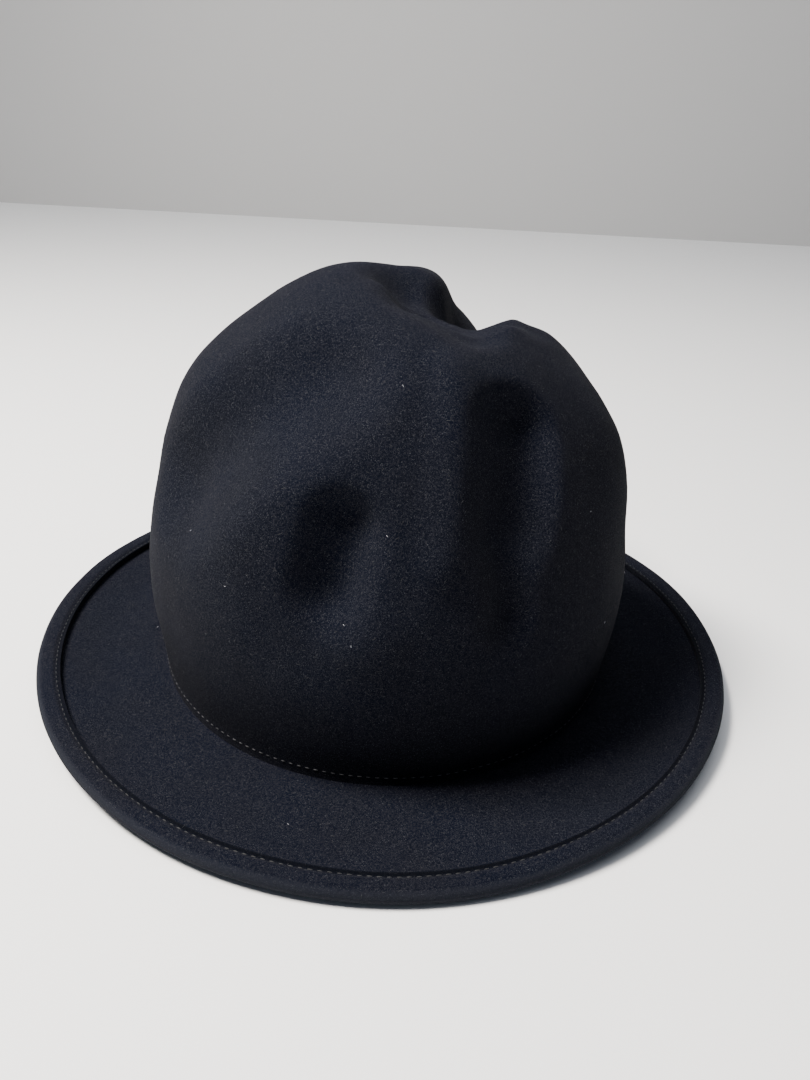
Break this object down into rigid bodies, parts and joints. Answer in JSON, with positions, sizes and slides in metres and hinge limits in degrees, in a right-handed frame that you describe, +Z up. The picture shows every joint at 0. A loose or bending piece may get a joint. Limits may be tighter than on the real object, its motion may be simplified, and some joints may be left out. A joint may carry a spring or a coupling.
{
  "type": "felt hat",
  "caption": "Black wool felt hat with a tall wide crown dented by hand, a curled brim with its edge folded over and stitched, and a sweatband inside.",
  "frame": {"origin": "under the middle of the head opening, on the plane that the brim rests on", "axes": "+Z up through the crown, -Y towards the front of the hat, +Y along the head's length"},
  "size_m": [0.296, 0.313, 0.1646],
  "materials": {
    "felt": "matte brushed wool felt",
    "thread": "matte spun thread",
    "band_leather": "satin",
    "ribbon": "satin ribbon",
    "label": "woven satin"
  },
  "bodies": {
    "hat": {"felt_crown": "felt", "felt_brim": "felt", "welt_thread": "thread", "foot_thread": "thread", "sweatband": "band_leather", "sweatband_reed": "band_leather", "seam_tape": "ribbon", "size_tab": "label", "sweatband_bow": "ribbon", "bow_knot": "ribbon", "label_seam": "thread"},
    "label": {"fibre_label": "label"}
  },
  "joints": [
    {"name": "label_flip", "type": "hinge", "parent": "hat", "child": "label", "pos_m": [0.08878, 0, 0.03345], "axis": [0, 1, 0], "range_deg": [0, 150]}
  ]
}
